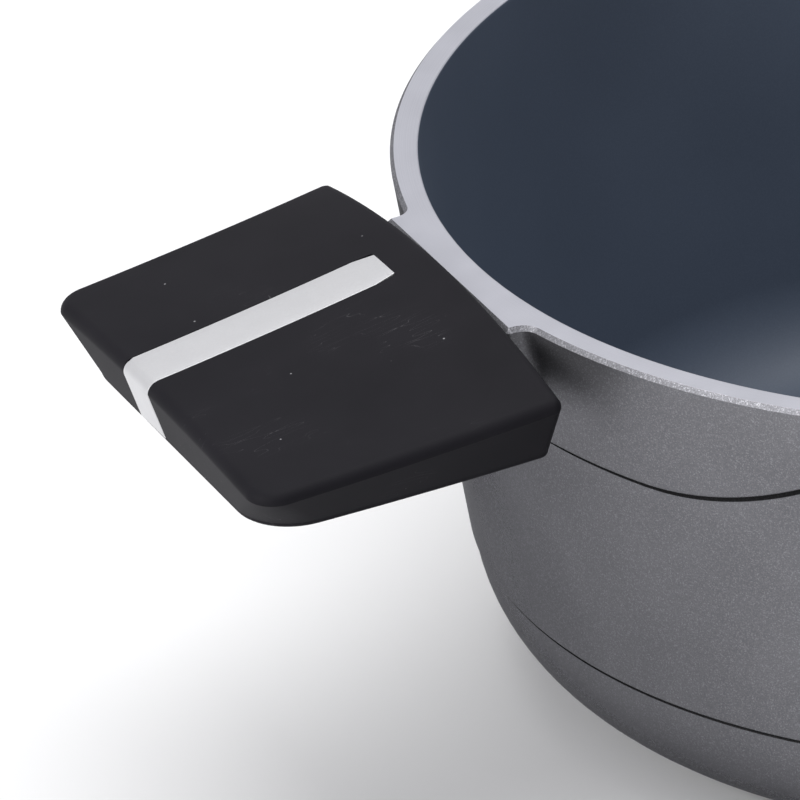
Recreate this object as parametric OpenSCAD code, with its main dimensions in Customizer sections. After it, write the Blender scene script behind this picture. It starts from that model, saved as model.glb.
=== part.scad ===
// Open die-cast cooking pot with two screwed-on side handles.
// The origin is the centre of the base, where the pot stands. +Z is up, and the handles lie along X.
// All sizes are in millimetres, and all angles in degrees.

/* [Pot] */
// Inside diameter of the pot at its rim
pot_d = 240; // [200:1:290]
// Height of the rim above the table
pot_h = 107; // [88:1:140]
// Thickness of the wall, measured level
wall_t = 4.3; // [3:0.1:5]
// Lean of the wall from upright
wall_draft = 7.9; // [4:0.1:9.8]
// Thickness of the base
base_t = 6; // [5:0.5:8]
// Outside radius between the wall and the base
corner_r = 29.6; // [20:0.1:31]
// Inside radius between the wall and the base
floor_r = 21; // [12:0.5:24]
// Height of the small ledge where the wall ends and the rounded base begins
ledge_z = 28.5; // [26:0.5:34]
// How far the wall stands out over the rounded base at the ledge
ledge_w = 0.5; // [0.3:0.1:1.6]

/* [Rim and raised pads] */
// How far the rim band and the pads stand out from the wall
rim_out = 1.4; // [0.8:0.1:2]
// Height of the rim band
rim_h = 6; // [4:0.5:8]
// Bevel on the two edges of the flat rim
rim_edge = 0.6; // [0.3:0.1:1]
// Depth of a pad's lower edge below the rim
pad_drop = 26; // [20:0.5:32]
// Width of the level part of a pad's lower edge
pad_flat = 100; // [70:1:120]
// Radius of the pad's two lower corners
pad_r = 63; // [40:1:76]

/* [Lugs] */
// Width of a lug
lug_w = 54; // [46:1:64]
// Thickness of a lug, down from the rim
lug_h = 14; // [13:0.5:18]
// Fillet between a lug and the rim
lug_fillet = 3; // [2:0.5:8]
// Length of bare lug between the rim and the grip
neck_l = 1.7; // [1.6:0.1:8]
// Width of the tongue that goes into the grip
tongue_w = 44; // [36:1:46]
// Length of the tongue inside the grip
tongue_l = 26; // [20:1:29]
// Thickness of the tongue
tongue_t = 5; // [4:0.2:6]
// Depth of the tongue's top face below the rim
tongue_drop = 7; // [6.4:0.2:7.6]

/* [Grips] */
// Length of a grip, outwards from the pot
grip_l = 61.5; // [56:0.5:80]
// Width of a grip beside the pot
grip_w_in = 105; // [80:1:132]
// Width of a grip at its outer end
grip_w_out = 96; // [72:1:112]
// Height of the grip's top above the rim, in the middle of its inner edge
grip_rise = 2.9; // [0:0.1:4]
// Drop of the grip's top along its length
grip_droop = 11.6; // [9:0.1:14]
// How far the middle of the grip's length dips below a straight slope
grip_sag = 0.4; // [0:0.1:1]
// Arch across the grip beside the pot
arch_in = 6; // [4:0.5:9]
// Arch across the grip at its outer end
arch_out = 1.8; // [0:0.1:3]
// Thickness of the grip at its two inner corners
grip_t_in = 15; // [11:0.5:18]
// Thickness of the grip at its two outer corners
grip_t_out = 11.7; // [11:0.1:16]
// How much narrower each side of the grip is below than above
side_lean = 6.6; // [2:0.1:8]
// How much shorter the grip's outer end is below than above
end_lean = 3.2; // [2:0.1:6]
// Radius of the edge round the grip's top
top_edge_r = 2.1; // [1.5:0.1:3]
// Radius of the edge round the grip's underside
low_edge_r = 1.1; // [1:0.1:2.5]
// Radius of the grip's two outer corners at its top, seen from above
outer_corner_r = 6.5; // [4:0.5:18]
// Radius of the grip's two outer corners at its underside, seen from above
low_corner_r = 12.4; // [6:0.2:18]
// Radius of the grip's two inner corners, seen from above
inner_corner_r = 2; // [1.6:0.1:8]

/* [Trim strips] */
// Width of a strip
strip_w = 11.2; // [8:0.2:14]
// Thickness of a strip
strip_t = 1.4; // [1:0.1:1.6]
// Distance of the strip's middle from the middle of the grip
strip_offset = 8; // [0:0.2:12]
// Distance of the strip's inner end from the grip's inner edge
strip_start = 8.8; // [6:0.2:16]
// Diameter of the pegs under the strip
peg_d = 3; // [2.4:0.1:4]
// Distance between the two pegs
peg_gap = 15; // [13:0.5:18]
// Thickness of grip that a peg goes through
peg_grip_t = 3; // [2.5:0.1:4]
// Diameter of the push-on clips
clip_d = 8; // [7:0.1:9]
// Thickness of the push-on clips
clip_t = 0.8; // [0.5:0.1:1]

/* [Fasteners] */
// Diameter of the screws' shanks
screw_d = 4; // [3:0.1:4.4]
// Distance between a grip's two screws
screw_gap = 24; // [18:1:28]
// Distance of the screws from the grip's inner face
screw_x = 14; // [11:0.5:16]
// Diameter of the screw heads
head_d = 8; // [7:0.1:8.6]
// Height of the screw heads
head_h = 2.4; // [1.8:0.1:2.6]
// Thickness of the spring washers
washer_t = 0.9; // [0.6:0.1:1]
// Thickness of grip that a screw clamps
screw_seat_t = 2.2; // [2:0.1:2.4]
// Outside diameter of the threaded inserts
insert_d = 5.8; // [5.4:0.1:6.6]

/* [Induction plate] */
// Thickness of the steel plate in the base
plate_t = 2; // [1:0.1:2.5]
// Width of bare base round the plate
plate_edge = 8; // [5:0.5:14]
// Diameter of the holes that the casting fills
plate_hole_d = 6; // [4:0.5:8]
// Distance between the rings of holes
plate_pitch = 14; // [11:0.5:18]

/* [Fits] */
// Gap between the tongue and its socket, on every side
tongue_gap = 0.3; // [0.2:0.05:0.5]
// Gap between a strip's edges and its groove
strip_gap = 0.15; // [0.1:0.05:0.3]
// Gap between a screw's shank and the insert's bore
thread_gap = 0.05; // [0.02:0.01:0.1]
// Gap between a screw's shank and its hole in the grip
screw_hole_gap = 0.3; // [0.2:0.05:0.5]
// Gap between a screw head or a clip and the wall of its pocket
pocket_gap = 0.5; // [0.3:0.1:0.8]

/* [Hidden] */
$fn = 64;
// Overshoot of a cut past the face it opens
cut = 1;

// The pot's wall
rim_r = pot_d/2;
wall_slope = tan(wall_draft);
function bore_r(z) = rim_r - (pot_h - z)*wall_slope;
function wall_r(z) = bore_r(z) + wall_t;
function pad_face_r(z) = wall_r(z) + rim_out;
function base_side_r(z) = wall_r(z) - ledge_w;
foot_r = base_side_r(corner_r) - corner_r/cos(wall_draft);
floor_flat_r = bore_r(base_t + floor_r) - floor_r/cos(wall_draft);
rim_outer_r = pad_face_r(pot_h);
plate_r = foot_r - plate_edge;
pad_z = pot_h - pad_drop;

// The tongue and the grip, in a frame whose X starts at the grip's inner face
grip_x = rim_outer_r + neck_l;
tongue_top = pot_h - tongue_drop;
tongue_low = tongue_top - tongue_t;
tongue_corner_r = 6;
side_angle = atan((grip_w_in - grip_w_out)/2/grip_l);
function mix(a, b, k) = a + (b - a)*k;
function half_w(x) = mix(grip_w_in, grip_w_out, x/grip_l)/2;
function ridge_z(x) =
    pot_h + grip_rise - grip_droop*x/grip_l - 4*grip_sag*(x/grip_l)*(1 - x/grip_l);
function top_z(x, y) = ridge_z(x) - mix(arch_in, arch_out, x/grip_l)*pow(y/half_w(x), 2);
function low_z(x) = ridge_z(x) - mix(arch_in + grip_t_in, arch_out + grip_t_out, x/grip_l);

// The stack from the tongue down to the screw head
screw_seat_z = tongue_low - tongue_gap - screw_seat_t;
head_top_z = screw_seat_z - washer_t;
screw_hole_d = screw_d + 2*screw_hole_gap;

// The strip's pegs
peg_x2 = grip_l - end_lean - clip_d/2 - pocket_gap - low_edge_r - 1;
peg_x1 = peg_x2 - peg_gap;
function peg_seat_z(x) = ridge_z(x) - strip_t - peg_grip_t;

// ---- Pot ----

module outer_profile() {
    polygon([
        [0, 0],
        [foot_r, 0],
        [foot_r + corner_r*cos(wall_draft), corner_r - corner_r*sin(wall_draft)],
        [base_side_r(ledge_z), ledge_z],
        [wall_r(ledge_z), ledge_z],
        [wall_r(pot_h - rim_h - rim_out), pot_h - rim_h - rim_out],
        [pad_face_r(pot_h - rim_h), pot_h - rim_h],
        [pad_face_r(pot_h - rim_edge), pot_h - rim_edge],
        [rim_outer_r - rim_edge, pot_h],
        [0, pot_h]]);
    translate([foot_r, corner_r]) circle(r = corner_r);
}

module inner_profile() {
    polygon([
        [0, base_t],
        [floor_flat_r, base_t],
        [floor_flat_r + floor_r*cos(wall_draft), base_t + floor_r - floor_r*sin(wall_draft)],
        [bore_r(pot_h - rim_edge), pot_h - rim_edge],
        [rim_r + rim_edge, pot_h],
        [rim_r + rim_edge, pot_h + cut],
        [0, pot_h + cut]]);
    translate([floor_flat_r, base_t + floor_r]) circle(r = floor_r);
}

// Raised pad on the +X side: a skin on the wall that runs up into the rim band, cut to an outline
// with two round lower corners
module raised_pad() {
    skin_bed = wall_t/2;
    intersection() {
        rotate_extrude() polygon([
            [wall_r(pad_z) - skin_bed, pad_z],
            [pad_face_r(pad_z), pad_z],
            [pad_face_r(pot_h - rim_h), pot_h - rim_h],
            [wall_r(pot_h - rim_h/2) - skin_bed, pot_h - rim_h/2]]);
        rotate([90, 0, 90]) linear_extrude(height = rim_outer_r + cut) union() {
            translate([-pad_flat/2, pad_z]) square([pad_flat, pad_r]);
            for (s = [-1, 1]) translate([s*pad_flat/2, pad_z + pad_r]) circle(r = pad_r);
        }
    }
}

// Outline of the lug seen from above, with a fillet on each side where it meets the rim
module lug_outline() {
    fillet_y = lug_w/2 + lug_fillet;
    fillet_x = sqrt(pow(rim_outer_r + lug_fillet, 2) - pow(fillet_y, 2));
    root_x = sqrt(pow(rim_r, 2) - pow(fillet_y, 2));
    difference() {
        union() {
            translate([root_x, -lug_w/2]) square([grip_x - tongue_gap - root_x, lug_w]);
            translate([root_x, -fillet_y]) square([fillet_x - root_x, 2*fillet_y]);
        }
        for (s = [-1, 1]) translate([fillet_x, s*fillet_y]) circle(r = lug_fillet);
        circle(r = rim_r + rim_edge + 0.2);
    }
}

// Bar that starts at X = 0 and has its two outer corners rounded
module tongue_outline(length, width) {
    translate([0, -width/2]) square([length - tongue_corner_r, width]);
    translate([0, tongue_corner_r - width/2]) square([length, width - 2*tongue_corner_r]);
    for (s = [-1, 1])
        translate([length - tongue_corner_r, s*(width/2 - tongue_corner_r)]) circle(r = tongue_corner_r);
}

module lug() {
    root_l = neck_l + 1;
    translate([0, 0, pot_h - lug_h]) linear_extrude(height = lug_h) lug_outline();
    translate([grip_x - root_l, 0, tongue_low]) linear_extrude(height = tongue_t)
        tongue_outline(tongue_l + root_l, tongue_w);
}

module insert_holes() {
    for (s = [-1, 1]) translate([grip_x + screw_x, s*screw_gap/2, tongue_low - cut])
        cylinder(d = insert_d, h = tongue_t + 2*cut);
}

// One round post in each place where the plate has a hole
module plate_posts(bottom, height) {
    rings = floor((plate_r - plate_hole_d)/plate_pitch);
    translate([0, 0, bottom]) cylinder(d = plate_hole_d, h = height);
    for (k = [1:rings], i = [0:6*k - 1])
        rotate([0, 0, 60*i/k]) translate([k*plate_pitch, 0, bottom])
            cylinder(d = plate_hole_d, h = height);
}

module pot_casting() {
    color("dimgray") {
        difference() {
            union() {
                rotate_extrude() outer_profile();
                for (a = [0, 180]) rotate([0, 0, a]) {
                    raised_pad();
                    lug();
                }
            }
            rotate_extrude() inner_profile();
            for (a = [0, 180]) rotate([0, 0, a]) insert_holes();
            translate([0, 0, -cut]) cylinder(r = plate_r, h = plate_t + cut);
        }
        plate_posts(0, plate_t + base_t/4);
    }
}

module induction_plate() {
    color("lightgray") difference() {
        cylinder(r = plate_r, h = plate_t);
        plate_posts(-cut, plate_t + 2*cut);
    }
}

// ---- Grip and strip, drawn on the +X side ----

function arc(x, y, r, a0, a1, n) =
    [for (i = [0:n]) let (a = mix(a0, a1, i/n)) [x + r*cos(a), y + r*sin(a)]];
function between(p, q, n) = [for (i = [1:n - 1]) mix(p, q, i/n)];

// Outline of the grip seen from above, drawn in by d_in at the inner edge, d_side at the two sides
// and d_out at the outer end, where its corners have the radius r1
function grip_outline(d_in, d_side, d_out, r1) =
    let (
        x0 = d_in,
        x1 = grip_l - d_out,
        r0 = inner_corner_r - min(d_in, inner_corner_r - 1),
        w0 = half_w(x0) - d_side/cos(side_angle),
        w1 = half_w(x1) - d_side/cos(side_angle),
        y0 = w0 - r0*(1 + sin(side_angle))/cos(side_angle),
        y1 = w1 - r1*(1 - sin(side_angle))/cos(side_angle),
        near_in = arc(x0 + r0, -y0, r0, 180, 270 + side_angle, 6),
        near_out = arc(x1 - r1, -y1, r1, 270 + side_angle, 360, 8),
        far_out = arc(x1 - r1, y1, r1, 0, 90 - side_angle, 8),
        far_in = arc(x0 + r0, y0, r0, 90 - side_angle, 180, 6))
    concat(
        near_in, between(near_in[6], near_out[0], 5),
        near_out, between(near_out[8], far_out[0], 8),
        far_out, between(far_out[8], far_in[0], 5),
        far_in, between(far_in[6], near_in[0], 14));

// Rings of points up round the lower edge, up the leaning sides and over the upper edge, and then
// smaller and smaller rings that fill the arched top
edge_steps = 4;
fill_steps = 6;
function low_ring(a) =
    let (d = low_edge_r*(1 - cos(a)))
    [for (p = grip_outline(d, side_lean + d, end_lean + d, low_corner_r - d))
        [p.x, p.y, low_z(p.x) + low_edge_r*(1 - sin(a))]];
function top_ring(a) =
    let (d = top_edge_r*(1 - cos(a)))
    [for (p = grip_outline(d, d, d, outer_corner_r - d)) [p.x, p.y, top_z(p.x, p.y) - top_edge_r*(1 - sin(a))]];
function fill_ring(k) =
    [for (p = grip_outline(top_edge_r, top_edge_r, top_edge_r, outer_corner_r - top_edge_r))
        let (x = mix(grip_l/2, p.x, k), y = p.y*k) [x, y, top_z(x, y)]];

module grip_body() {
    rings = concat(
        [for (i = [0:edge_steps]) low_ring(90*(1 - i/edge_steps))],
        [for (i = [0:edge_steps]) top_ring(90*i/edge_steps)],
        [for (i = [1:fill_steps - 1]) fill_ring(1 - i/fill_steps)]);
    n = len(rings[0]);
    last = len(rings) - 1;
    low_middle = n*len(rings);
    top_middle = low_middle + 1;
    points = concat(
        [for (ring = rings, p = ring) p],
        [[grip_l/2, 0, low_z(grip_l/2)], [grip_l/2, 0, top_z(grip_l/2, 0)]]);
    sides = [for (k = [0:last - 1], i = [0:n - 1])
        let (j = (i + 1)%n, a = k*n + i, b = k*n + j, c = b + n, d = a + n)
        each [[a, d, c], [a, c, b]]];
    floor_fan = [for (i = [0:n - 1]) [low_middle, i, (i + 1)%n]];
    top_fan = [for (i = [0:n - 1]) [top_middle, last*n + (i + 1)%n, last*n + i]];
    polyhedron(points = points, faces = concat(floor_fan, sides, top_fan));
}

// Zone that the strip takes from the grip: a band along the top, bent down over the outer end.
// It reaches past the grip's surface, so that strip and groove share the grip's own shape.
module strip_zone(gap) {
    x0 = strip_start - gap;
    end_h = ridge_z(grip_l) - low_z(grip_l);
    end_slope = end_lean/end_h;
    bend_r = 1.6;
    bend_x = grip_l - strip_t - bend_r;
    bend_z = ridge_z(bend_x) - strip_t - bend_r;
    under = ridge_z(grip_l) - end_h - 2*cut;
    far = grip_l + 4*cut;
    width = strip_w + 2*gap;
    seat_steps = 6;
    translate([0, -strip_offset + width/2, 0]) rotate([90, 0, 0]) linear_extrude(height = width)
        polygon(concat(
            [[x0, pot_h + grip_rise + cut]],
            [for (i = [0:seat_steps - 1])
                let (x = mix(x0, bend_x, i/seat_steps)) [x, ridge_z(x) - strip_t]],
            arc(bend_x, bend_z, bend_r, 80, 0, 5),
            [[bend_x + bend_r - (bend_z - under)*end_slope, under], [far, under],
             [far, pot_h + grip_rise + cut]]));
}

module at_pegs() {
    for (x = [peg_x1, peg_x2]) translate([x, -strip_offset, peg_seat_z(x)]) children();
}

module grip_shape() {
    socket_w = tongue_w + 2*tongue_gap;
    difference() {
        grip_body();
        strip_zone(strip_gap);
        translate([-cut, 0, tongue_low - tongue_gap])
            linear_extrude(height = tongue_t + 2*tongue_gap)
                tongue_outline(tongue_l + tongue_gap + cut, socket_w);
        for (s = [-1, 1]) translate([screw_x, s*screw_gap/2, 0]) {
            cylinder(d = head_d + 2*pocket_gap, h = screw_seat_z);
            cylinder(d = screw_hole_d, h = tongue_low);
        }
        at_pegs() {
            translate([0, 0, -pot_h]) cylinder(d = clip_d + 2*pocket_gap, h = pot_h);
            cylinder(d = peg_d, h = peg_grip_t + strip_t);
        }
    }
}

module grip() {
    color("#2b2b30") translate([grip_x, 0, 0]) grip_shape();
}

module trim_strip() {
    peg_end = clip_t + 0.7;
    color("gainsboro") translate([grip_x, 0, 0]) {
        intersection() {
            grip_body();
            strip_zone(0);
        }
        at_pegs() translate([0, 0, -peg_end]) cylinder(d = peg_d, h = peg_end + peg_grip_t + strip_t/2);
    }
}

module clip(x) {
    color("silver") translate([grip_x + x, -strip_offset, peg_seat_z(x) - clip_t]) difference() {
        cylinder(d = clip_d, h = clip_t);
        translate([0, 0, -cut]) cylinder(d = peg_d, h = clip_t + 2*cut);
    }
}

// ---- Fasteners, on the side of the grip that s gives ----

module at_screw(s) {
    translate([grip_x + screw_x, s*screw_gap/2, 0]) children();
}

module screw(s) {
    slot_w = 1.1;
    slot_l = 4.4;
    slot_h = head_h*0.6;
    shank_l = tongue_top - 0.4 - head_top_z;
    color("silver") at_screw(s) translate([0, 0, head_top_z]) difference() {
        union() {
            cylinder(d = screw_d - 2*thread_gap, h = shank_l);
            translate([0, 0, -head_h/2]) cylinder(d = head_d, h = head_h/2);
            translate([0, 0, -head_h]) cylinder(d1 = head_d*0.8, d2 = head_d, h = head_h/2);
        }
        for (a = [0, 90]) rotate([0, 0, a])
            translate([-slot_l/2, -slot_w/2, -head_h - cut]) cube([slot_l, slot_w, slot_h + cut]);
    }
}

module washer(s) {
    color("darkgray") at_screw(s) translate([0, 0, head_top_z]) difference() {
        cylinder(d = head_d - 0.6, h = washer_t);
        translate([0, 0, -cut]) cylinder(d = screw_hole_d, h = washer_t + 2*cut);
        rotate([0, 0, 40*s]) translate([0, -0.4, -cut]) cube([head_d, 0.8, washer_t + 2*cut]);
    }
}

module insert(s) {
    color("goldenrod") at_screw(s) translate([0, 0, tongue_low]) difference() {
        cylinder(d = insert_d, h = tongue_t);
        translate([0, 0, -cut]) cylinder(d = screw_d, h = tongue_t + 2*cut);
    }
}

module on_left() {
    rotate([0, 0, 180]) children();
}

pot_casting();
induction_plate();
on_left() grip();  // left_grip
on_left() trim_strip();  // left_trim_strip
on_left() clip(peg_x1);  // left_inner_clip
on_left() clip(peg_x2);  // left_outer_clip
on_left() screw(1);  // left_front_screw
on_left() screw(-1);  // left_back_screw
on_left() washer(1);  // left_front_washer
on_left() washer(-1);  // left_back_washer
on_left() insert(1);  // left_front_insert
on_left() insert(-1);  // left_back_insert
grip();  // right_grip
trim_strip();  // right_trim_strip
clip(peg_x1);  // right_inner_clip
clip(peg_x2);  // right_outer_clip
screw(-1);  // right_front_screw
screw(1);  // right_back_screw
washer(-1);  // right_front_washer
washer(1);  // right_back_washer
insert(-1);  // right_front_insert
insert(1);  // right_back_insert
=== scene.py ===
# %% [markdown]
# # An open die-cast cooking pot with two screwed-on handles
#
# The pot is one aluminium casting. Its outside is painted dark grey, its inside has a smooth
# non-stick coat, and its flat rim was turned bare on a lathe after coating. A lug on each side
# carries a wide black grip with a silver strip let into it.
#
# The CAD model gives every size and place. This lesson loads it as a fixed frame, rebuilds the
# casting, the grips and the strips with finer surfaces, and gives every piece a finish.

import math

import bmesh
import bpy
from mathutils import Matrix, Vector


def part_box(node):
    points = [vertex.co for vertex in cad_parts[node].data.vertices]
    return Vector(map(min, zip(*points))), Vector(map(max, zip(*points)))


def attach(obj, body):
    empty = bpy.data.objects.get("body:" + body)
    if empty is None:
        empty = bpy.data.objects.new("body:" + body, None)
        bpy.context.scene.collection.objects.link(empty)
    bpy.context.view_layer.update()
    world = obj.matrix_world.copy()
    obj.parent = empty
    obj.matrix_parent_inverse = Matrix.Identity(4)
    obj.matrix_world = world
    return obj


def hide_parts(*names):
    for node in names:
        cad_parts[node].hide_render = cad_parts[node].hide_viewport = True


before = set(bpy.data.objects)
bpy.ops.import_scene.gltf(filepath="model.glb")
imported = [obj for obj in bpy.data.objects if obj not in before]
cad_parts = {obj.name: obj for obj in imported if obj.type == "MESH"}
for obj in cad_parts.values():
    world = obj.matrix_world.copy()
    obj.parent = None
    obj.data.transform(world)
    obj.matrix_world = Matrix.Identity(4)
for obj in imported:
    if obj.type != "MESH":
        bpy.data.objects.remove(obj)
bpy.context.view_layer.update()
mm = 0.001
print("CAD nodes:", len(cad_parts))

# %% [markdown]
# ## Sizes
#
# The overall sizes are read from the boxes of the CAD nodes, so that the finer pieces land on the
# plain ones. The small sizes that no box shows, such as wall thickness and edge radii, are named
# here once. A pot's wall leans outwards so that the casting leaves its mould, so its radius is a
# function of height.

# %% The pot's own sizes
casting_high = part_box("pot_casting")[1]
plate_low, plate_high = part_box("induction_plate")
pot_height = casting_high.z
bore_radius = 120 * mm
wall = 4.3 * mm
raised = 1.4 * mm
lean = math.tan(math.radians(7.9))
floor_height = 6 * mm
floor_round = 21 * mm
base_round = 29.6 * mm
ledge_height = 28.5 * mm
ledge_width = 0.5 * mm


def bore_at(z):
    return bore_radius - (pot_height - z) * lean


def wall_at(z):
    return bore_at(z) + wall


def face_at(z):
    return wall_at(z) + raised


rim_radius = face_at(pot_height)
print("pot height and rim radius in mm:", round(pot_height / mm, 1), round(rim_radius / mm, 1))
print("radius of the CAD casting in mm:", round(casting_high.y / mm, 1))

# %% The grip's own sizes
grip_low, grip_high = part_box("right_grip")
strip_low, strip_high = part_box("right_trim_strip")
grip_start = grip_low.x
grip_length = grip_high.x - grip_low.x
grip_width_in, grip_width_out = 105 * mm, 96 * mm
ridge_start = pot_height + 2.9 * mm
ridge_drop, ridge_sag = 11.6 * mm, 0.4 * mm
arch_in, arch_out = 6 * mm, 1.8 * mm
corner_thick_in, corner_thick_out = 15 * mm, 11.7 * mm
side_lean, end_lean = 6.6 * mm, 3.2 * mm
top_edge, low_edge = 2.1 * mm, 1.1 * mm
corner_in, corner_out, corner_low = 2 * mm, 6.5 * mm, 12.4 * mm
strip_width = strip_high.y - strip_low.y
strip_middle = (strip_high.y + strip_low.y) / 2
strip_start = strip_low.x - grip_start
strip_thick = 1.4 * mm
print("grip length in mm:", round(grip_length / mm, 1))
print("strip width and place in mm:", round(strip_width / mm, 1), round(strip_middle / mm, 1))

# %% [markdown]
# ## Small tools for meshes
#
# Nearly every piece here is a stack of closed rings of points, joined ring to ring, which is how
# a lathe or a mould would describe it. One function makes the faces between rings, so each piece
# only has to say where its points are.


# %% Rings into a mesh
def mix(a, b, k):
    return a + (b - a) * k


def spread(a, b, steps):
    """Steps + 1 values from a to b."""
    return [mix(a, b, i / steps) for i in range(steps + 1)]


def mesh_piece(name, points, faces):
    mesh = bpy.data.meshes.new(name)
    mesh.from_pydata(points, [], faces)
    mesh.validate()
    piece = bpy.data.objects.new(name, mesh)
    bpy.context.scene.collection.objects.link(piece)
    return piece


def ring_faces(rings, count):
    return [
        (k * count + i, (k + 1) * count + i, (k + 1) * count + (i + 1) % count, k * count + (i + 1) % count)
        for k in range(rings - 1)
        for i in range(count)
    ]


def stack(name, rings, first, last):
    """Joins rings of points into one closed piece. first and last are the points that close it."""
    count = len(rings[0])
    points = [p for ring in rings for p in ring] + [first, last]
    start, end = len(points) - 2, len(points) - 1
    top = (len(rings) - 1) * count
    faces = [(start, i, (i + 1) % count) for i in range(count)]
    faces += ring_faces(len(rings), count)
    faces += [(end, top + (i + 1) % count, top + i) for i in range(count)]
    return mesh_piece(name, points, faces)


def smooth(piece, sharp_above=38):
    """Smooth shading that keeps real corners sharp and flat faces flat."""
    piece.data.shade_smooth()
    piece.data.set_sharp_from_angle(angle=math.radians(sharp_above))
    steady = piece.modifiers.new("steady_normals", "WEIGHTED_NORMAL")
    steady.keep_sharp = True
    steady.weight = 80
    print(piece.name, "has", len(piece.data.polygons), "faces")
    return piece


# %% [markdown]
# ## The casting
#
# Seen from above, the casting's outline is a circle with a short lug on each side. A small fillet
# joins lug and circle, as molten metal needs. The outline is worked out for a quarter turn and
# mirrored, which keeps the two halves equal. The points crowd together round the fillet and the
# lug's corner, where the shape changes quickly.

# %% The outline of the rim and the two lugs
lug_half = 27 * mm
lug_fillet = 3 * mm
lug_corner = 1 * mm
lug_gap = 0.3 * mm
lug_end = grip_start - lug_gap
tongue_half = 22 * mm
fillet_y = lug_half + lug_fillet
fillet_x = math.sqrt((rim_radius + lug_fillet) ** 2 - fillet_y**2)
fillet_turn = math.atan2(fillet_y, fillet_x)


def around(x, y, radius, turn):
    return (x + radius * math.cos(turn), y + radius * math.sin(turn))


quarter = [(lug_end, y) for y in spread(0, tongue_half, 4) + [lug_half - 3 * lug_corner]]
quarter += [
    around(lug_end - lug_corner, lug_half - lug_corner, lug_corner, a) for a in spread(0, math.pi / 2, 4)
]
quarter += [
    around(fillet_x, fillet_y, lug_fillet, a) for a in spread(1.5 * math.pi, math.pi + fillet_turn, 9)
]
quarter += [around(0, 0, rim_radius, a) for a in spread(fillet_turn, math.pi / 2, 72)[1:]]
half = quarter + [(-x, y) for x, y in quarter[-2::-1]]
outline = half + [(x, -y) for x, y in half[-2:0:-1]]
print("points round the rim:", len(outline))

# %% [markdown]
# Each point of the outline becomes a column that runs from the middle of the floor, up the
# inside, over the rim and down the outside. Every column keeps the direction it points in, how
# far the lug pushes it out, and how deep the raised pad reaches there. The pad is a smile-shaped
# area round each handle: level in the middle, with a large round corner on each side that climbs
# to the narrow band under the rim.

# %% Columns
pad_depth = 26 * mm
pad_half = 50 * mm
pad_round = 63 * mm
band_depth = 6 * mm
band_blend = 1.2 * mm
lug_reach = 2.5 * mm


def pad_edge(turn):
    """Depth below the rim of the raised area's lower edge, in that direction."""
    depth = pad_depth
    for _ in range(4):
        beyond = abs(math.sin(turn)) * face_at(pot_height - depth) - pad_half
        climb = pad_round - math.sqrt(max(pad_round**2 - max(beyond, 0) ** 2, 0))
        depth = max(pad_depth - climb, 0) if beyond < pad_round else 0
    return (depth + band_depth + math.hypot(depth - band_depth, band_blend)) / 2


class Column:
    def __init__(self, before, here, after):
        self.turn = math.atan2(here[1], here[0])
        self.out = Vector((math.cos(self.turn), math.sin(self.turn), 0))
        self.push = Vector((here[0], here[1], 0)) - self.out * rim_radius
        along = Vector((after[0] - before[0], after[1] - before[1], 0)).normalized()
        self.normal = Vector((along.y, -along.x, 0))
        self.upright = min(1, self.push.length / lug_reach)
        self.edge = pad_edge(self.turn)

    def at(self, radius, z):
        return self.out * radius + Vector((0, 0, z))

    def outer(self, z, lug=1.0, inset=0.0):
        """A point on the raised outer face, pushed out by a share of the lug."""
        straight = (rim_radius - face_at(z)) * self.upright * lug
        return self.at(face_at(z) + straight, z) + self.push * lug - self.normal * inset


columns = [Column(outline[i - 1], p, outline[(i + 1) % len(outline)]) for i, p in enumerate(outline)]
depths = [c.edge / mm for c in columns]
print("raised area's depth in mm, least and most:", round(min(depths), 1), round(max(depths), 1))

# %% [markdown]
# The rows of the casting are written in the order in which a finger would run over it: floor,
# inside wall, rim, outside, base. Each row names the finish of the strip of surface that follows
# it. Real castings have no knife edges, so every edge has two to five rows of its own that
# round it.

# %% Rows from the floor up to the rim
rows = []


def row(finish, place):
    """Adds one ring of the casting. place says where a column's point is."""
    rows.append((finish, [place(c) for c in columns]))


floor_centre_z = floor_height + floor_round
lean_angle = math.atan(lean)
floor_flat = bore_at(floor_centre_z) - floor_round / math.cos(lean_angle)
inner_edge = 0.45 * mm

for share in (0.02, 0.2, 0.4, 0.6, 0.8, 1.0):
    row("coat", lambda c: c.at(floor_flat * share, floor_height))
for a in spread(-math.pi / 2, -lean_angle, 16)[1:]:
    row(
        "coat",
        lambda c: c.at(floor_flat + floor_round * math.cos(a), floor_centre_z + floor_round * math.sin(a)),
    )
wall_foot = floor_centre_z - floor_round * math.sin(lean_angle)
for z in spread(wall_foot, pot_height - 2 * inner_edge, 8)[1:]:
    row("coat", lambda c: c.at(bore_at(z), z))
for a in spread(math.pi, math.pi / 2, 5):
    row(
        "bare" if a < 0.9 * math.pi else "coat",
        lambda c: c.at(
            bore_radius + inner_edge * (1 + math.cos(a)), pot_height - inner_edge * (1 - math.sin(a))
        ),
    )
print("rows up to the rim:", len(rows))

# %% Rows over the rim and down the outside
outer_edge = 0.9 * mm
step_round = 0.35 * mm
step_root = 1.6 * mm
underside_start, underside_end = 12.8 * mm, 17 * mm
rim_flat_start = bore_radius + inner_edge

# The rim's flat is bare, and the rows that round its outer edge take a paint with brighter flakes: painted
# glints where the rounded edge catches the light.
for share in (0.08, 0.5, 0.92, 1.0):
    row(
        "bare" if share < 1 else "edge",
        lambda c: c.at(rim_flat_start, pot_height).lerp(c.outer(pot_height, 1, outer_edge), share),
    )
for share in (0.12, 0.5, 0.88, 1.0, 1.25):
    drop = outer_edge * share
    inset = outer_edge * max(1.03 - share, 0)
    row("edge" if share < 1 else "paint", lambda c: c.outer(pot_height - drop, 1, inset))


def face_row(depth, lug):
    """A row on the raised face. depth is measured beside a lug, and shrinks where the pad does."""
    share = (depth - outer_edge) / (pad_depth - step_round - outer_edge)
    row("paint", lambda c: c.outer(pot_height - mix(outer_edge, c.edge - step_round, share), lug))


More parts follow.
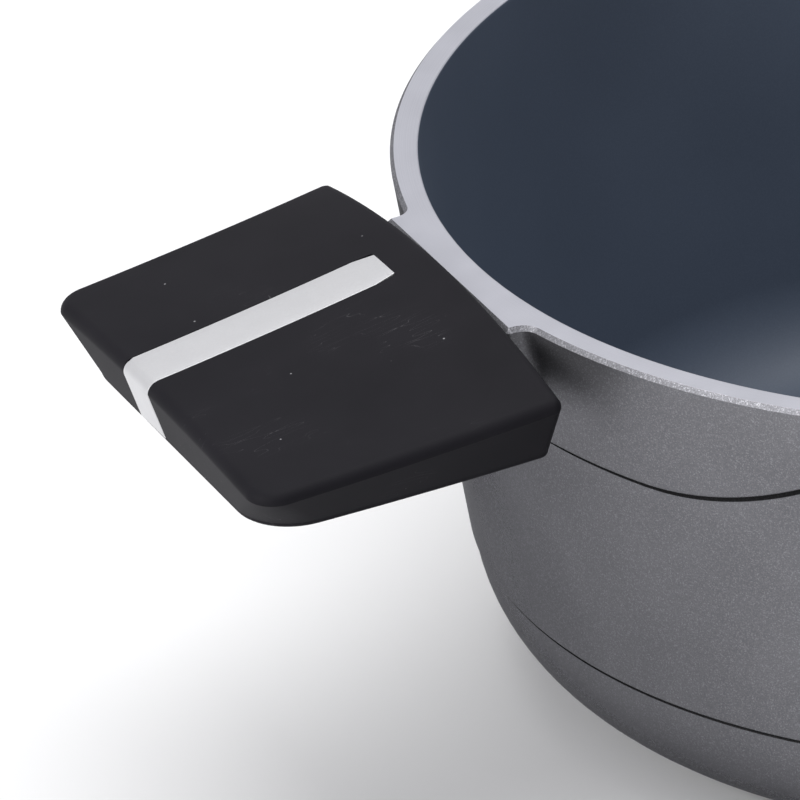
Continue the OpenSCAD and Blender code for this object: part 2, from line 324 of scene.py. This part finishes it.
for depth in (3 * mm, 7 * mm, 12 * mm):
    face_row(depth, 1.0)
for q in spread(0, 1, 10):
    face_row(mix(underside_start, underside_end, q), (1 + math.cos(math.pi * q)) / 2)
for depth in (19 * mm, 22 * mm, 24.5 * mm, pad_depth - step_round):
    face_row(depth, 0.0)
for a in spread(0, math.pi / 2, 4)[1:]:
    rise = step_round * (1 - math.sin(a))
    inset = step_round * (1 - math.cos(a))
    row("paint", lambda c: c.outer(pot_height - c.edge + rise, 0, inset))
# The root rows sit in a shallow groove under the step and take a near-black paint: painted shade, a dark line
# where the step's shadow falls.
for reach, cut in ((0.0, -0.1 * mm), (0.4 * mm, 0.25 * mm), (1.2 * mm, 0.25 * mm), (step_root, 0.0)):
    row(
        "root" if cut else "paint",
        lambda c: c.at(wall_at(pot_height - c.edge - reach) - cut, pot_height - c.edge - reach),
    )
print("rows down to the step:", len(rows))

# %% Rows down the wall, over the ledge and round the base corner
ledge_round = 0.3 * mm
foot_radius = wall_at(base_round) - ledge_width - base_round / math.cos(lean_angle)
plate_gap = 0.12 * mm
plate_chamfer = 0.3 * mm
plate_radius = plate_high.x + plate_gap
plate_thick = plate_high.z - plate_low.z
ledge_root = 0.85 * mm
foot_margin = 1 * mm

for share in spread(0, 1, 10)[1:]:
    row(
        "paint",
        lambda c: c.at(
            wall_at(mix(pot_height - c.edge - step_root, ledge_height + ledge_round, share)),
            mix(pot_height - c.edge - step_root, ledge_height + ledge_round, share),
        ),
    )
for a in spread(0, math.pi / 2, 4)[1:]:
    rise = ledge_round * (1 - math.sin(a))
    inset = ledge_round * (1 - math.cos(a))
    row("paint", lambda c: c.at(wall_at(ledge_height) - inset, ledge_height + rise))
# Under the ledge the root rows again take the near-black paint: painted shade beneath the ledge.
for reach, cut in ((0.0, 0.1 * mm), (0.2 * mm, 0.25 * mm), (0.6 * mm, 0.25 * mm), (ledge_root, 0.0)):
    low = ledge_height - reach
    row("root" if cut else "paint", lambda c: c.at(wall_at(low) - ledge_width - cut, low))
for a in spread(-lean_angle, -math.pi / 2, 18):
    row("paint", lambda c: c.at(foot_radius + base_round * math.cos(a), base_round * (1 + math.sin(a))))
row("bare", lambda c: c.at(foot_radius - foot_margin, 0))
row("bare", lambda c: c.at(plate_radius + plate_chamfer, 0))
row("bare", lambda c: c.at(plate_radius, plate_chamfer))
row("bare", lambda c: c.at(plate_radius, plate_thick))
row("bare", lambda c: c.at(plate_radius * 0.1, plate_thick))
print("rows in all:", len(rows))

# %% [markdown]
# The stack of rows is closed at the middle of the floor and at the middle of the base. Inside
# each grip the casting goes on as a flat tongue, which is pulled out of the lug's end face. The
# steel plate in the base has rings of holes, and the casting's metal fills them.

# %% The casting's mesh
# Of these finishes, 'root' is painted shade in the corners, and 'edge' carries painted glints on the rim's
# rounded edge.
FINISHES = ["paint", "coat", "bare", "edge", "root"]
casting = stack(
    "casting",
    [points for _, points in rows],
    Vector((0, 0, floor_height)),
    Vector((0, 0, plate_thick)),
)
count = len(columns)
for i, face in enumerate(casting.data.polygons):
    band = min(max((i - count) // count, 0), len(rows) - 1)
    face.material_index = FINISHES.index(rows[band][0])

tongue_length = 26 * mm
tongue_top, tongue_low = pot_height - 7 * mm, pot_height - 12 * mm
shaped = bmesh.new()
shaped.from_mesh(casting.data)
for side in (-1, 1):
    end = [
        f
        for f in shaped.faces
        if abs(f.calc_center_median().x - side * lug_end) < 0.01 * mm
        and abs(f.calc_center_median().y) < tongue_half
        and tongue_low < f.calc_center_median().z < tongue_top
    ]
    pulled = bmesh.ops.extrude_face_region(shaped, geom=end)["geom"]
    tip = [v for v in pulled if isinstance(v, bmesh.types.BMVert)]
    bmesh.ops.translate(shaped, verts=tip, vec=Vector((side * (tongue_length + lug_gap), 0, 0)))
    bmesh.ops.delete(shaped, geom=end, context="FACES")
    print("tongue pulled out of", len(end), "faces")

# %% The studs in the plate's holes
stud_radius = 3 * mm
stud_pitch = 14 * mm
stud_rings = int((plate_high.x - 2 * stud_radius) // stud_pitch)
stud_places = [(0, 0)]
for k in range(1, stud_rings + 1):
    stud_places += [around(0, 0, k * stud_pitch, math.radians(60 * i / k)) for i in range(6 * k)]
for x, y in stud_places:
    stud = bmesh.ops.create_cone(
        shaped,
        cap_ends=True,
        segments=32,
        radius1=stud_radius,
        radius2=stud_radius,
        depth=plate_thick * 1.25,
        matrix=Matrix.Translation((x, y, plate_thick * 0.625)),
    )
    for face in {f for v in stud["verts"] for f in v.link_faces}:
        face.material_index = FINISHES.index("bare")
shaped.to_mesh(casting.data)
shaped.free()
smooth(casting)
print("studs in the base:", len(stud_places))

# %% [markdown]
# ## The grips
#
# A grip is a moulded slab: its top is arched beside the pot and nearly flat at its outer end, it
# droops outwards, its sides lean in towards the underside, and its edges are round. It is built
# as rings again, drawn in more and more towards the top's middle, so that the arch stays smooth.

# %% The grip's surfaces
side_turn = math.atan((grip_width_in - grip_width_out) / 2 / grip_length)


def half_width(x):
    return mix(grip_width_in, grip_width_out, x / grip_length) / 2


def ridge_at(x):
    along = x / grip_length
    return ridge_start - ridge_drop * along - 4 * ridge_sag * along * (1 - along)


def top_at(x, y):
    return ridge_at(x) - mix(arch_in, arch_out, x / grip_length) * (y / half_width(x)) ** 2


def low_at(x):
    return ridge_at(x) - mix(arch_in + corner_thick_in, arch_out + corner_thick_out, x / grip_length)


def arc(x, y, radius, start, end, steps):
    return [around(x, y, radius, a) for a in spread(start, end, steps)]


def between(p, q, steps):
    return [(mix(p[0], q[0], i / steps), mix(p[1], q[1], i / steps)) for i in range(1, steps)]


def grip_outline(draw_in, draw_side, draw_out, r1):
    """The grip from above, drawn in at its inner edge, sides and outer end. r1 rounds the outer corners."""
    x0, x1 = draw_in, grip_length - draw_out
    r0 = corner_in - min(draw_in, corner_in - 1 * mm)
    w0 = half_width(x0) - draw_side / math.cos(side_turn)
    w1 = half_width(x1) - draw_side / math.cos(side_turn)
    y0 = w0 - r0 * (1 + math.sin(side_turn)) / math.cos(side_turn)
    y1 = w1 - r1 * (1 - math.sin(side_turn)) / math.cos(side_turn)
    right = math.pi / 2
    near_in = arc(x0 + r0, -y0, r0, 2 * right, 3 * right + side_turn, 10)
    near_out = arc(x1 - r1, -y1, r1, 3 * right + side_turn, 4 * right, 16)
    far_out = arc(x1 - r1, y1, r1, 0, right - side_turn, 16)
    far_in = arc(x0 + r0, y0, r0, right - side_turn, 2 * right, 10)
    return (
        near_in
        + between(near_in[-1], near_out[0], 16)
        + near_out
        + between(near_out[-1], far_out[0], 20)
        + far_out
        + between(far_out[-1], far_in[0], 16)
        + far_in
        + between(far_in[-1], near_in[0], 36)
    )


print("points round the grip:", len(grip_outline(0, 0, 0, corner_out)))


# %% The grip's rings
def low_ring(a):
    d = low_edge * (1 - math.cos(a))
    ring = grip_outline(d, side_lean + d, end_lean + d, corner_low - d)
    return [Vector((x, y, low_at(x) + low_edge * (1 - math.sin(a)))) for x, y in ring]


def top_ring(a):
    d = top_edge * (1 - math.cos(a))
    drop = top_edge * (1 - math.sin(a))
    return [Vector((x, y, top_at(x, y) - drop)) for x, y in grip_outline(d, d, d, corner_out - d)]


def side_ring(k):
    """A ring part of the way up the leaning sides."""
    return [low.lerp(top, k) for low, top in zip(low_ring(0), top_ring(0))]


def fill_ring(k):
    border = grip_outline(top_edge, top_edge, top_edge, corner_out - top_edge)
    places = [(mix(grip_length / 2, x, k), y * k) for x, y in border]
    return [Vector((x, y, top_at(x, y))) for x, y in places]


def low_fill_ring(k):
    places = [(mix(grip_length / 2, p.x, k), p.y * k) for p in low_ring(math.pi / 2)]
    return [Vector((x, y, low_at(x))) for x, y in places]


def grip_blank(name):
    rings = [low_fill_ring(k) for k in (0.3, 0.7, 0.97)]
    rings += [low_ring(a) for a in spread(math.pi / 2, 0, 6)]
    rings += [side_ring(k) for k in (0.06, 0.35, 0.65, 0.94)]
    rings += [top_ring(a) for a in spread(0, math.pi / 2, 8)]
    rings += [fill_ring(k) for k in (0.97, 0.9, 0.8, 0.7, 0.6, 0.5, 0.4, 0.3, 0.2, 0.1)]
    middle = grip_length / 2
    return stack(name, rings, Vector((middle, 0, low_at(middle))), Vector((middle, 0, top_at(middle, 0))))


print("points in one ring of the grip:", len(top_ring(0)))

# %% [markdown]
# The strip lies in a groove that follows the grip's top and bends down over its outer end. The
# same path is used twice: a little wider it cuts the groove, and at its true width it makes the
# strip. A boolean cut is the right tool here, because it leaves the crisp edges that a moulded
# groove has. The screws and the strip's clips sit in round pockets underneath.


# %% The strip's path along the grip
def strip_path():
    """Points from the grip's inner end to its lower outer edge, each with the way that is outwards."""
    steps = spread(strip_start, grip_length - top_edge, 12)
    slope = math.atan(ridge_drop / grip_length)
    path = [(x, ridge_at(x), math.pi / 2 - slope) for x in steps]
    end_slope = math.atan(end_lean / (arch_out + corner_thick_out - low_edge - top_edge))
    for a in spread(math.pi / 2 - slope, -end_slope, 10)[1:]:
        x = grip_length - top_edge * (1 - math.cos(a))
        path.append((x, ridge_at(grip_length) + top_edge * (math.sin(a) - 1), a))
    foot_x, foot_z = grip_length - end_lean, low_at(grip_length) + low_edge
    last_x, last_z, last_a = path[-1]
    for k in (0.33, 0.66, 1.0):
        path.append((mix(last_x, foot_x, k), mix(last_z, foot_z, k), last_a))
    return path


def band(name, width, over, under, round_end, edge):
    """A closed band along the path. over and under are its heights above and below the surface."""
    rings = []
    path = strip_path()
    for i, (x, z, a) in enumerate(path):
        inwards = max(round_end - (x - path[0][0]), 0)
        half = width / 2 - round_end + math.sqrt(max(round_end**2 - inwards**2, 0))
        across = [(-half, -under), (-half, over - edge), (edge - half, over)]
        across += [(mix(edge - half, half - edge, k), over) for k in (0.25, 0.5, 0.75)]
        across += [(half - edge, over), (half, over - edge), (half, -under)]
        ring = []
        for y, height in across:
            arch = top_at(min(x, grip_length), strip_middle + y) - ridge_at(min(x, grip_length))
            point = Vector((x + height * math.cos(a), strip_middle + y, z + arch + height * math.sin(a)))
            ring.append(point)
        rings.append(ring)
    centres = [sum(ring, Vector()) / len(ring) for ring in (rings[0], rings[-1])]
    return stack(name, rings, *centres)


def facing_out(piece):
    """Turns every face of a closed piece outwards."""
    shape = bmesh.new()
    shape.from_mesh(piece.data)
    bmesh.ops.recalc_face_normals(shape, faces=shape.faces)
    shape.to_mesh(piece.data)
    shape.free()
    return piece


print("points along the strip:", len(strip_path()))

# %% Cutting tools
pocket_radius = 4.5 * mm
screw_low, screw_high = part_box("right_back_screw")
washer_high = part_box("right_back_washer")[1]
clip_low, clip_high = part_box("right_inner_clip")
outer_clip_low, outer_clip_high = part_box("right_outer_clip")


def rod(name, x, y, low, high, radius, segments=64):
    """A round bar from low to high, with its axis at x, y."""
    turns = spread(0, 2 * math.pi, segments)[:-1]
    rings = [[Vector((*around(x, y, radius, a), z)) for a in turns] for z in (low, high)]
    return facing_out(stack(name, rings, Vector((x, y, low)), Vector((x, y, high))))


def cut_away(piece, tool):
    """Cuts the tool's shape out of the piece and throws the tool away."""
    cutter = piece.modifiers.new("cut", "BOOLEAN")
    cutter.operation = "DIFFERENCE"
    cutter.solver = "EXACT"
    cutter.object = tool
    seen = bpy.context.evaluated_depsgraph_get()
    result = bpy.data.meshes.new_from_object(piece.evaluated_get(seen))
    piece.modifiers.remove(cutter)
    piece.data = result
    bpy.data.objects.remove(tool)


def box_middle(low, high):
    """The middle of a box seen from above, with x measured from the grip's inner end."""
    return (low.x + high.x) / 2 - grip_start, (low.y + high.y) / 2


tool_overshoot = 2 * mm
under_grip = low_at(grip_length) - tool_overshoot
screw_x, screw_y = box_middle(screw_low, screw_high)
pockets = [(screw_x, sign * screw_y, washer_high.z) for sign in (-1, 1)]
pockets.append((*box_middle(clip_low, clip_high), clip_high.z))
pockets.append((*box_middle(outer_clip_low, outer_clip_high), outer_clip_high.z))
print("pockets under a grip:", [[round(v / mm, 1) for v in p] for p in pockets])

# %% Both grips
groove_gap = 0.13 * mm
groove_open = 3 * mm
groove_end, groove_edge = 0.4 * mm, 0.05 * mm
grip = facing_out(grip_blank("right_grip_moulding"))
groove_width = strip_width + 2 * groove_gap
groove_tool = band("groove_tool", groove_width, groove_open, strip_thick, groove_end, groove_edge)
cut_away(grip, facing_out(groove_tool))
for x, y, ceiling in pockets:
    cut_away(grip, rod("pocket_tool", x, y, under_grip, ceiling, pocket_radius))
grip.data.transform(Matrix.Translation((grip_start, 0, 0)))
other_grip = bpy.data.objects.new("left_grip_moulding", grip.data.copy())
bpy.context.scene.collection.objects.link(other_grip)
half_turn = Matrix.Rotation(math.pi, 4, "Z")
other_grip.data.transform(half_turn)
for piece in (grip, other_grip):
    smooth(piece, 32)

# %% Both strips, with the pegs that their clips hold
peg_radius = 1.5 * mm
peg_tail = 1.5 * mm
strip_proud, strip_clear = 0.03 * mm, 0.06 * mm
strip_end, strip_edge = 0.9 * mm, 0.16 * mm
strip_under = strip_thick - strip_clear
strip = facing_out(band("right_strip", strip_width, strip_proud, strip_under, strip_end, strip_edge))
parts = bmesh.new()
parts.from_mesh(strip.data)
for x, y, ceiling in pockets[2:]:
    peg = rod("peg", x, y, ceiling - peg_tail, ridge_at(x) - strip_thick / 2, peg_radius, 40)
    parts.from_mesh(peg.data)
    bpy.data.objects.remove(peg)
parts.to_mesh(strip.data)
parts.free()
strip.data.transform(Matrix.Translation((grip_start, 0, 0)))
other_strip = bpy.data.objects.new("left_strip", strip.data.copy())
bpy.context.scene.collection.objects.link(other_strip)
other_strip.data.transform(half_turn)
for piece in (strip, other_strip):
    smooth(piece, 50)

# %% [markdown]
# ## Writing finishes as sums
#
# A finish is a small graph of nodes. Wiring one by hand hides what it does, so a wire gets a
# class of its own: adding or multiplying two wires adds a Math node, and the finish reads as the
# formula that it is. Every other node comes from one method.


# %% Wires and finishes
class Wire:
    """A number or colour that flows through a finish."""

    def __init__(self, finish, socket):
        self.finish = finish
        self.socket = socket

    def sum(self, operation, a, b=0.0):
        return self.finish.node("ShaderNodeMath", {"operation": operation}, {0: a, 1: b})

    def __add__(self, other):
        return self.sum("ADD", self, other)

    def __sub__(self, other):
        return self.sum("SUBTRACT", self, other)

    def __rsub__(self, other):
        return self.sum("SUBTRACT", other, self)

    def __mul__(self, other):
        return self.sum("MULTIPLY", self, other)

    def __pow__(self, other):
        return self.sum("POWER", self, other)

    __radd__ = __add__
    __rmul__ = __mul__

    def above(self, low, high):
        """0 below low, 1 above high, and an even slope between."""
        return self.finish.node(
            "ShaderNodeMapRange", {"clamp": True}, {"Value": self, "From Min": low, "From Max": high}
        )

    def below(self, low, high):
        return 1 - self.above(low, high)


class Finish:
    """A material, or the studio's air, made of nodes round one shader."""

    def __init__(self, name, owner=None, shader="Principled BSDF"):
        self.owner = owner or bpy.data.materials.new(name)
        self.owner.use_nodes = True
        self.tree = self.owner.node_tree
        self.shader = self.tree.nodes[shader]

    def plug(self, socket, value):
        if isinstance(value, Wire):
            self.tree.links.new(value.socket, socket)
        else:
            socket.default_value = value

    def node(self, kind, settings, sockets, out=0):
        made = self.tree.nodes.new(kind)
        for key, value in settings.items():
            if key == "stops":
                self.set_stops(made.color_ramp, value)
            else:
                setattr(made, key, value)
        for key, value in sockets.items():
            self.plug(made.inputs[key], value)
        return Wire(self, made.outputs[out])

    def set_stops(self, ramp, stops):
        while len(ramp.elements) < len(stops):
            ramp.elements.new(0.5)
        for element, (place, colour) in zip(ramp.elements, stops):
            element.position = place
            element.color = colour

    def place(self):
        """Where a point of the piece is, in metres, in the pot's own frame."""
        return self.node("ShaderNodeTexCoord", {}, {}, out=3)

    def stretched(self, x, y, z):
        """The same place, squeezed along each axis."""
        return self.node("ShaderNodeVectorMath", {"operation": "MULTIPLY"}, {0: self.place(), 1: (x, y, z)})

    def noise(self, size, detail=2.0, roughness=0.5, at=None):
        """Soft blotches about as wide as size, from 0 to 1."""
        return self.node(
            "ShaderNodeTexNoise",
            {},
            {"Vector": at or self.place(), "Scale": 1 / size, "Detail": detail, "Roughness": roughness},
        )

    def cells(self, size, feature="F1", out="Distance"):
        """Cells about as wide as size: the distance to each one's middle, or a random colour."""
        return self.node(
            "ShaderNodeTexVoronoi", {"feature": feature}, {"Vector": self.place(), "Scale": 1 / size}, out=out
        )

    def blend(self, share, a, b):
        """Colour a where share is 0 and b where it is 1."""
        return self.node("ShaderNodeMix", {"data_type": "RGBA"}, {0: share, 6: a, 7: b}, out=2)

    def bump(self, height, depth, strength=1.0):
        """A normal for a surface raised by depth metres where height is 1."""
        return self.node("ShaderNodeBump", {}, {"Height": height, "Distance": depth, "Strength": strength})

    def surface(self, **sockets):
        for key, value in sockets.items():
            self.plug(self.shader.inputs[key.replace("_", " ")], value)
        print("finish", self.owner.name, "has", len(self.tree.nodes), "nodes")
        return self.owner


def grey(value, blue=1.0):
    return (value, value, value * blue, 1.0)


# %% [markdown]
# ## The paint outside
#
# The outside is sprayed with a dark grey paint that holds fine metal flakes. Close up it
# shows three things: flakes that catch the light one by one, a soft leathery grain of about a
# millimetre, and slow drifts in tone. The flakes are tiny random cells that change the colour and
# the gloss a little, and the grain is a bump.


# %% Paint
def flake_paint(name, dark, light):
    paint = Finish(name)
    flakes = paint.cells(0.22 * mm, out="Color")
    sparkle = paint.node("ShaderNodeSeparateColor", {}, {0: flakes}, out=0)
    drift = paint.noise(35 * mm, detail=3)
    grain = paint.noise(0.9 * mm, detail=3, roughness=0.6)
    fine = paint.noise(0.3 * mm, detail=1)
    bright = sparkle.above(0.72, 1.0) * 0.55 + fine.above(0.35, 0.7) * 0.25 + drift.above(0.3, 0.7) * 0.2
    tone = paint.blend(bright, dark, light)
    height = grain * 0.7 + fine * 0.3
    return paint.surface(
        Base_Color=tone,
        Metallic=0.8,
        Roughness=0.46 + grain.above(0.3, 0.7) * 0.08 - sparkle.above(0.8, 1.0) * 0.1,
        Specular_Tint=(0.1, 0.1, 0.1, 1),
        Specular_IOR_Level=0.1,
        Normal=paint.bump(height, 0.035 * mm),
    )


outside = flake_paint("flake_paint", grey(0.155, 1.08), grey(0.31, 1.06))
# A copy of the paint with much brighter flakes for the rim's rounded outer edge: real flakes, with painted
# glints.
edge_paint_with_painted_glints = flake_paint("rim_edge_paint_with_painted_glints", grey(0.16, 1.08), grey(0.55, 1.06))
# A near-black copy of the paint for the root rows: painted shade in the corners under the step and the ledge.
painted_root_shade = flake_paint("painted_shade_in_the_roots", grey(0.012, 1.05), grey(0.03, 1.05))

# %% [markdown]
# ## The coat inside
#
# The non-stick coat is a smooth, blue-black, half-glossy film. It has a very faint orange peel
# and a slow change of tone, under a thin clear layer.

# %% Inside coat
coat = Finish("inside_coat")
coat_drift = coat.noise(60 * mm, detail=2)
coat_speck = coat.noise(0.35 * mm, detail=2)
inside = coat.surface(
    Base_Color=coat.blend(
        coat_drift.above(0.3, 0.7) * 0.6 + coat_speck.above(0.4, 0.7) * 0.4,
        (0.078, 0.100, 0.140, 1),
        (0.104, 0.132, 0.180, 1),
    ),
    Metallic=0.0,
    Roughness=0.46 + coat_speck * 0.06,
    Coat_Weight=0.25,
    Coat_Roughness=0.35,
    Normal=coat.bump(coat.noise(1.6 * mm, detail=2), 0.012 * mm),
)

# %% [markdown]
# ## The bare rim
#
# The rim, the lugs' tops and the ring under the base are turned on a lathe, so their marks run in
# circles about the pot's axis. A noise that only knows the distance from the axis gives such
# rings. A second noise breaks them up, because tool marks fade in and out.

# %% Bare aluminium
turned = Finish("turned_aluminium")
flat_place = turned.stretched(1, 1, 0)
from_axis = turned.node("ShaderNodeVectorMath", {"operation": "LENGTH"}, {0: flat_place}, out=1)
marks = turned.node(
    "ShaderNodeTexNoise",
    {"noise_dimensions": "1D"},
    {"W": from_axis, "Scale": 1 / (0.12 * mm), "Detail": 3.0},
)
fade = turned.noise(9 * mm, detail=2)
bare = turned.surface(
    Base_Color=turned.blend(
        marks.above(0.35, 0.65) * 0.6 + fade * 0.4, (0.52, 0.525, 0.575, 1), (0.63, 0.635, 0.685, 1)
    ),
    Metallic=0.85,
    Roughness=0.38 + fade * 0.1,
    Normal=turned.bump(marks, 0.006 * mm),
)

# %% [markdown]
# ## The grips' soft-touch skin
#
# The grips are phenolic, sprayed with a matt rubbery lacquer. It has a grain too fine to see but
# for its soft sheen, and it always carries a few specks of dust and hair-thin rub marks.

# %% Soft-touch black
skin = Finish("soft_touch_black")
pores = skin.noise(0.25 * mm, detail=2)
patches = skin.noise(22 * mm, detail=3)
speck_cell = skin.cells(4.5 * mm)
speck_pick = skin.node("ShaderNodeSeparateColor", {}, {0: skin.cells(4.5 * mm, out="Color")}, out=1)
specks = speck_cell.below(0.03, 0.055) * speck_pick.above(0.74, 0.76)
hair_place = skin.node(
    "ShaderNodeVectorMath",
    {"operation": "ADD"},
    {0: skin.stretched(1 / (9 * mm), 1 / (1.3 * mm), 1 / (9 * mm)), 1: skin.noise(14 * mm, detail=1)},
)
hairs = skin.node("ShaderNodeTexNoise", {}, {"Vector": hair_place, "Scale": 1.0, "Detail": 0.0})
hair_line = hairs.above(0.495, 0.5) * hairs.below(0.5, 0.505) * patches.above(0.56, 0.66)
skin_tone = skin.blend(
    patches.above(0.3, 0.7) * 0.7 + pores * 0.3, (0.0085, 0.0081, 0.0105, 1), (0.0130, 0.0123, 0.0155, 1)
)
rubbed = skin.blend(hair_line * 0.16 + specks * 0.5, skin_tone, (0.5, 0.5, 0.52, 1))
black = skin.surface(
    Base_Color=rubbed,
    Roughness=0.56 + pores * 0.08,
    Specular_IOR_Level=0.09,
    Normal=skin.bump(pores, 0.008 * mm),
)

# %% [markdown]
# ## Metal for the strips, plate and fasteners
#
# These metals differ only in tone, in gloss and in the direction of their grain, so one function
# makes them all. The grain is a noise that is squeezed along one axis until it turns to lines.


# %% Brushed metals
def brushed(name, dark, light, rough, along, metallic=1.0, depth=0.004 * mm):
    metal = Finish(name)
    lines = metal.noise(1.0, detail=3, at=metal.stretched(*along))
    blotch = metal.noise(6 * mm, detail=2)
    return metal.surface(
        Base_Color=metal.blend(lines.above(0.3, 0.7) * 0.6 + blotch * 0.4, dark, light),
        Metallic=metallic,
        Roughness=rough + lines.above(0.3, 0.7) * 0.08,
        Normal=metal.bump(lines, depth),
    )


fine, long = 1 / (0.09 * mm), 1 / (7 * mm)
satin = brushed(
    "satin_strip_metal", grey(0.54, 1.02), grey(0.64, 1.02), 0.42, (long, fine, fine), metallic=0.6
)
plate_steel = brushed("brushed_plate_steel", grey(0.42, 1.0), grey(0.60, 1.0), 0.30, (long, fine, fine))
zinc = brushed("zinc_screw_steel", grey(0.50, 1.03), grey(0.68, 1.03), 0.28, (fine / 2, fine / 2, long))
spring = brushed("spring_steel", grey(0.22, 1.0), grey(0.34, 1.0), 0.36, (fine / 2, fine / 2, fine / 2))
brass = brushed("turned_brass", (0.60, 0.42, 0.16, 1), (0.75, 0.55, 0.24, 1), 0.30, (long, long, fine))

# %% Finishes onto pieces
for material in (outside, inside, bare, edge_paint_with_painted_glints, painted_root_shade):
    casting.data.materials.append(material)
for piece in (grip, other_grip):
    piece.data.materials.clear()
    piece.data.materials.append(black)
for piece in (strip, other_strip):
    piece.data.materials.clear()
    piece.data.materials.append(satin)

CAD_FINISHES = {"plate": plate_steel, "screw": zinc, "washer": spring, "clip": spring, "insert": brass}
for node_name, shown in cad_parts.items():
    for word, material in CAD_FINISHES.items():
        if node_name.endswith(word):
            for place in shown.material_slots:
                place.link = "OBJECT"
                place.material = material

# %% [markdown]
# ## Joining the pieces to the frame
#
# Nothing on this pot moves, so every piece rides on the one body. The table lists each new piece
# with the CAD node it stands for, which is hidden, and a material slot name that the loop leaves unused.

# %% Bodies, stand-ins and slots
STANDS_FOR = [
    (casting, "pot_casting", "cast_aluminium"),
    (grip, "right_grip", "black_grip"),
    (other_grip, "left_grip", "black_grip"),
    (strip, "right_trim_strip", "satin_strip"),
    (other_strip, "left_trim_strip", "satin_strip"),
]
for piece, node_name, slot_name in STANDS_FOR:
    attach(piece, "root")
    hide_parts(node_name)
print("pieces that stand for CAD nodes:", len(STANDS_FOR))

# %% [markdown]
# ## Floor, light and camera
#
# The pot stands on a plain pale floor in soft studio light. A wide panel above and behind lights
# the flat tops, a second one on the left models the round body, and the air itself is pale above
# and dim below, which keeps the dark pieces dark on their shaded sides.

# %% Floor
floor_size = 12.0
bpy.ops.mesh.primitive_plane_add(size=floor_size)
floor = bpy.context.object
floor.name = "floor"
paper = Finish("pale_paper")
paper_tone = paper.noise(400 * mm, detail=2)
floor.data.materials.append(
    paper.surface(Base_Color=paper.blend(paper_tone, grey(0.86), grey(0.90)), Roughness=0.9)
)

# %% Light
studio = bpy.data.worlds.new("studio_air")
bpy.context.scene.world = studio
air = Finish("studio_air", studio, "Background")
look = air.node("ShaderNodeTexCoord", {}, {})
upwards = air.node("ShaderNodeSeparateXYZ", {}, {0: look}, out=2)
to_the_back = (0.35, 0.94, 0)
backwards = air.node("ShaderNodeVectorMath", {"operation": "DOT_PRODUCT"}, {0: look, 1: to_the_back}, out=1)
height_share = upwards.above(0.45, 0.8)
back_share = backwards.above(-0.5, 0.5)
low_air = air.blend(back_share, grey(0.10, 1.05), grey(0.62, 1.04))
high_air = air.blend(back_share, grey(0.80, 1.04), grey(0.30, 1.04))
air.surface(Color=air.blend(height_share, low_air, high_air), Strength=1.0)


def panel(name, place, width, power, tint=(1, 1, 1)):
    """A soft square light that faces the pot."""
    light = bpy.data.lights.new(name, "AREA")
    light.shape = "SQUARE"
    light.size = width
    light.energy = power
    light.color = tint
    lamp = bpy.data.objects.new(name, light)
    bpy.context.scene.collection.objects.link(lamp)
    lamp.location = Vector(place)
    lamp.rotation_mode = "QUATERNION"
    lamp.rotation_quaternion = (Vector((0, 0, pot_height / 2)) - lamp.location).to_track_quat("-Z", "Y")
    print("panel", name, "of", power, "W")


panel("top_panel", (0.0, 0.25, 1.8), 1.6, 24)
panel("left_panel", (-1.5, -0.2, 0.75), 0.7, 14)

# %% Camera
aim = Vector((-136.30, 3.31, 80.64)) * mm
azimuth, elevation, roll = math.radians(-23.991), math.radians(27.963), math.radians(-2.769)
distance = 2297.6 * mm
level_share = math.cos(elevation)
back = Vector((math.sin(azimuth) * level_share, -math.cos(azimuth) * level_share, math.sin(elevation)))
camera = bpy.data.objects.new("camera", bpy.data.cameras.new("camera"))
bpy.context.scene.collection.objects.link(camera)
camera.data.sensor_width = 36
camera.data.lens = 540
camera.data.clip_start, camera.data.clip_end = 0.05, 60
camera.location = aim + back * distance
camera.rotation_mode = "QUATERNION"
level = (-back).to_track_quat("-Z", "Y")
camera.rotation_quaternion = level @ Matrix.Rotation(roll, 3, "Z").to_quaternion()
bpy.context.scene.camera = camera
bpy.context.scene.view_settings.view_transform = "Standard"
